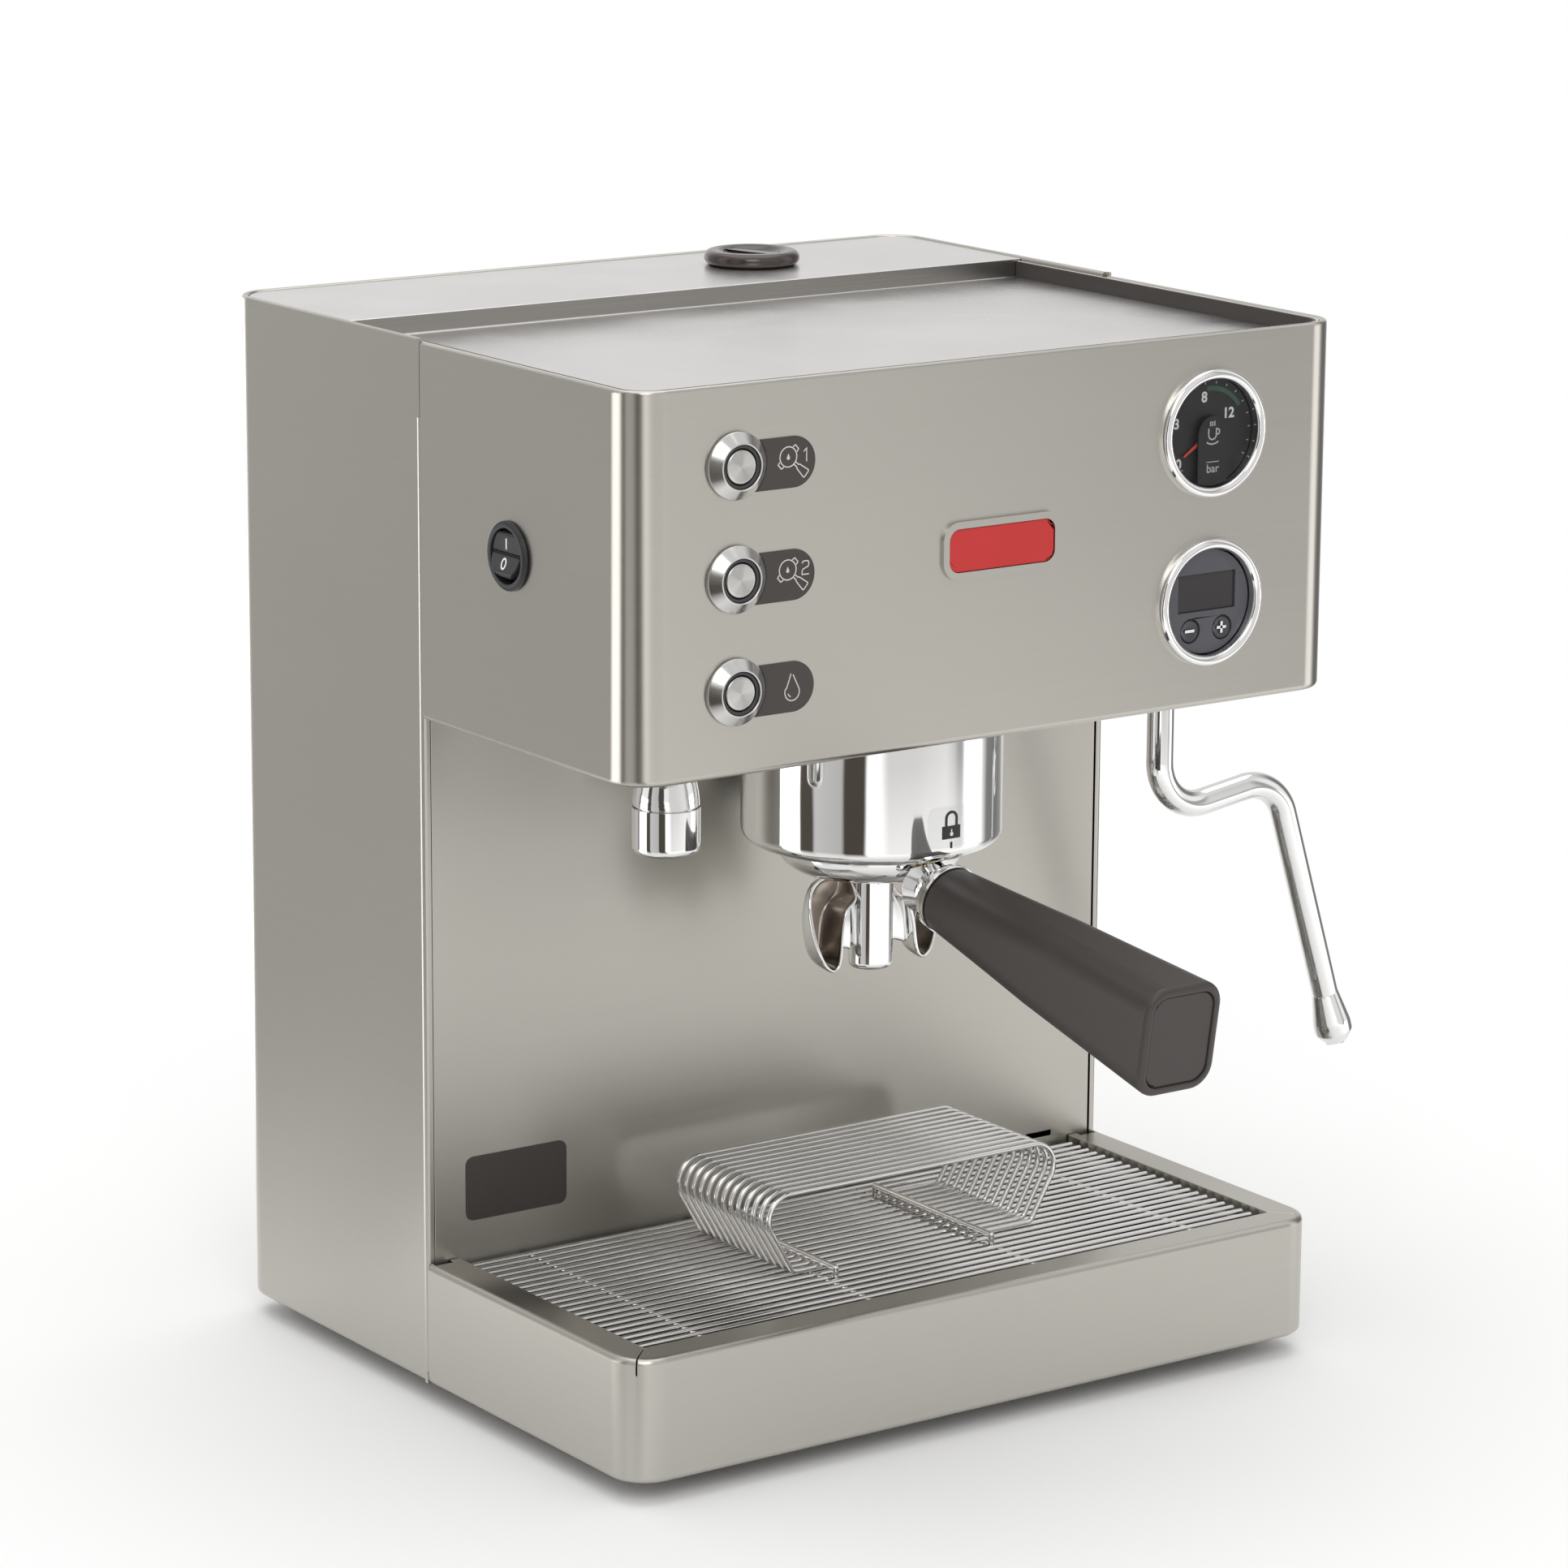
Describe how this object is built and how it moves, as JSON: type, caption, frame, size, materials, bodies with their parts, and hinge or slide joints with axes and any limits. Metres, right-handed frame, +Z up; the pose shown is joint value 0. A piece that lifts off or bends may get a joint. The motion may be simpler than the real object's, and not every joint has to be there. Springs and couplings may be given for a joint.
{
  "type": "espresso machine",
  "caption": "Compact brushed-steel espresso machine with a locking portafilter, swivelling steam wand, hot-water spout, gauge, display and a lift-out drip tray under a wire grill.",
  "frame": {"origin": "under the middle of the machine's box, on the surface the feet stand on", "axes": "+X to the machine's right seen from the front, +Y to its back, +Z up"},
  "size_m": [0.3685, 0.3797, 0.396],
  "materials": {
    "housing_steel": "brushed stainless sheet",
    "tray_steel": "polished stainless sheet",
    "chrome": "polished chrome",
    "wire_steel": "bright stainless wire",
    "chassis_steel": "mill finish sheet",
    "brass": "machined brass",
    "dark_plastic": "satin dark brown plastic",
    "black_plastic": "satin black plastic",
    "dial_face": "matt printed face",
    "needle_red": "enamelled",
    "badge_red": "enamelled",
    "glass": "clear",
    "tank_plastic": "translucent plastic",
    "rubber": "black rubber",
    "seat_plastic": "white sliding plastic",
    "copper": "copper tube",
    "boiler_steel": "drawn stainless"
  },
  "bodies": {
    "machine": {"rear_housing": "housing_steel", "head_shell": "housing_steel", "back_panel": "housing_steel", "base_shell": "housing_steel", "head_floor": "chassis_steel", "bottom_plate": "chassis_steel", "rubber_feet": "rubber", "case_screws": "wire_steel", "chassis": "chassis_steel", "button_bezels": "chrome", "button_switches": "black_plastic", "label_plates": "dark_plastic", "badge_plate": "badge_red", "name_plate": "dark_plastic", "gauge_bezel": "chrome", "gauge_case": "black_plastic", "gauge_dial": "dial_face", "gauge_glass": "glass", "display_bezel": "chrome", "display_module": "dark_plastic", "display_screen": "dial_face", "switch_housing": "black_plastic", "group_collar": "chrome", "group_body": "brass", "group_gasket": "rubber", "shower_screen": "wire_steel", "hot_water_spout": "chrome", "wand_joint_nut": "chrome", "steam_valve": "brass", "coffee_boiler": "brass", "steam_boiler": "boiler_steel", "pump": "black_plastic", "solenoid_valves": "brass", "control_box": "chassis_steel", "power_inlet": "black_plastic", "pipes": "copper"},
    "coffee_button_1": {"coffee_button_1": "chrome"},
    "coffee_button_2": {"coffee_button_2": "chrome"},
    "water_button": {"water_button": "chrome"},
    "minus_button": {"minus_button": "black_plastic"},
    "plus_button": {"plus_button": "black_plastic"},
    "rocker": {"rocker": "black_plastic"},
    "gauge_needle": {"gauge_needle": "needle_red"},
    "steam_knob": {"steam_knob": "dark_plastic"},
    "portafilter": {"portafilter_bowl": "chrome", "filter_basket": "wire_steel", "twin_spout": "chrome", "handle_ferrule": "chrome", "handle_grip": "dark_plastic", "handle_end_cap": "dark_plastic"},
    "wand_seat": {"wand_seat": "seat_plastic"},
    "steam_wand": {"steam_wand": "chrome", "wand_tip": "chrome"},
    "top_lid": {"top_lid": "tray_steel", "tray_trim": "dark_plastic"},
    "filler_cap": {"filler_cap": "dark_plastic"},
    "water_tank": {"water_tank": "tank_plastic"},
    "drip_tray": {"drip_tray": "tray_steel"},
    "grill": {"grill": "wire_steel"},
    "cup_rack": {"cup_rack": "wire_steel"}
  },
  "joints": [
    {"name": "coffee_button_1_press", "type": "slide", "parent": "machine", "child": "coffee_button_1", "axis": [0, 1, 0], "range_m": [0, 0.0025], "stiffness_N_per_m": 300},
    {"name": "coffee_button_2_press", "type": "slide", "parent": "machine", "child": "coffee_button_2", "axis": [0, 1, 0], "range_m": [0, 0.0025], "stiffness_N_per_m": 300},
    {"name": "water_button_press", "type": "slide", "parent": "machine", "child": "water_button", "axis": [0, 1, 0], "range_m": [0, 0.0025], "stiffness_N_per_m": 300},
    {"name": "minus_press", "type": "slide", "parent": "machine", "child": "minus_button", "axis": [0, 1, 0], "range_m": [0, 0.0006], "stiffness_N_per_m": 400},
    {"name": "plus_press", "type": "slide", "parent": "machine", "child": "plus_button", "axis": [0, 1, 0], "range_m": [0, 0.0006], "stiffness_N_per_m": 400},
    {"name": "rocker_tilt", "type": "hinge", "parent": "machine", "child": "rocker", "pos_m": [-0.17615, -0.00592, 0.3235], "axis": [0, -1, 0], "range_deg": [0, 18]},
    {"name": "needle_turn", "type": "hinge", "parent": "machine", "child": "gauge_needle", "pos_m": [0.06635, -0.08222, 0.3543], "axis": [0, 1, 0], "range_deg": [0, 240]},
    {"name": "knob_turn", "type": "hinge", "parent": "machine", "child": "steam_knob", "pos_m": [0.12585, 0.00278, 0.333], "axis": [1, 0, 0], "range_deg": [0, 330]},
    {"name": "portafilter_turn", "type": "hinge", "parent": "machine", "child": "portafilter", "pos_m": [-0.02715, -0.00722, 0.198], "axis": [0, 0, 1], "range_deg": [-55, 0]},
    {"name": "wand_swing", "type": "hinge", "parent": "machine", "child": "wand_seat", "pos_m": [0.08985, -0.02722, 0.252], "axis": [0, 0, 1], "range_deg": [-100, 40]},
    {"name": "wand_tilt", "type": "hinge", "parent": "wand_seat", "child": "steam_wand", "pos_m": [0.08985, -0.02722, 0.252], "axis": [0, 1, 0], "range_deg": [-10, 8]},
    {"name": "lid_lift", "type": "slide", "parent": "machine", "child": "top_lid", "axis": [0, 0, 1], "range_m": [0, 0.25]},
    {"name": "filler_cap_lift", "type": "slide", "parent": "top_lid", "child": "filler_cap", "axis": [0, 0, 1], "range_m": [0, 0.03]},
    {"name": "tank_lift", "type": "slide", "parent": "machine", "child": "water_tank", "axis": [0, 0, 1], "range_m": [0, 0.25]},
    {"name": "tray_lift", "type": "slide", "parent": "machine", "child": "drip_tray", "axis": [0, 0, 1], "range_m": [0, 0.02]},
    {"name": "grill_lift", "type": "slide", "parent": "drip_tray", "child": "grill", "axis": [0, 0, 1], "range_m": [0, 0.02]},
    {"name": "rack_lift", "type": "slide", "parent": "grill", "child": "cup_rack", "axis": [0, 0, 1], "range_m": [0, 0.02]}
  ],
  "couplings": [
    {"joint": "tank_lift", "follows": "lid_lift", "ratio": 0.9}
  ]
}
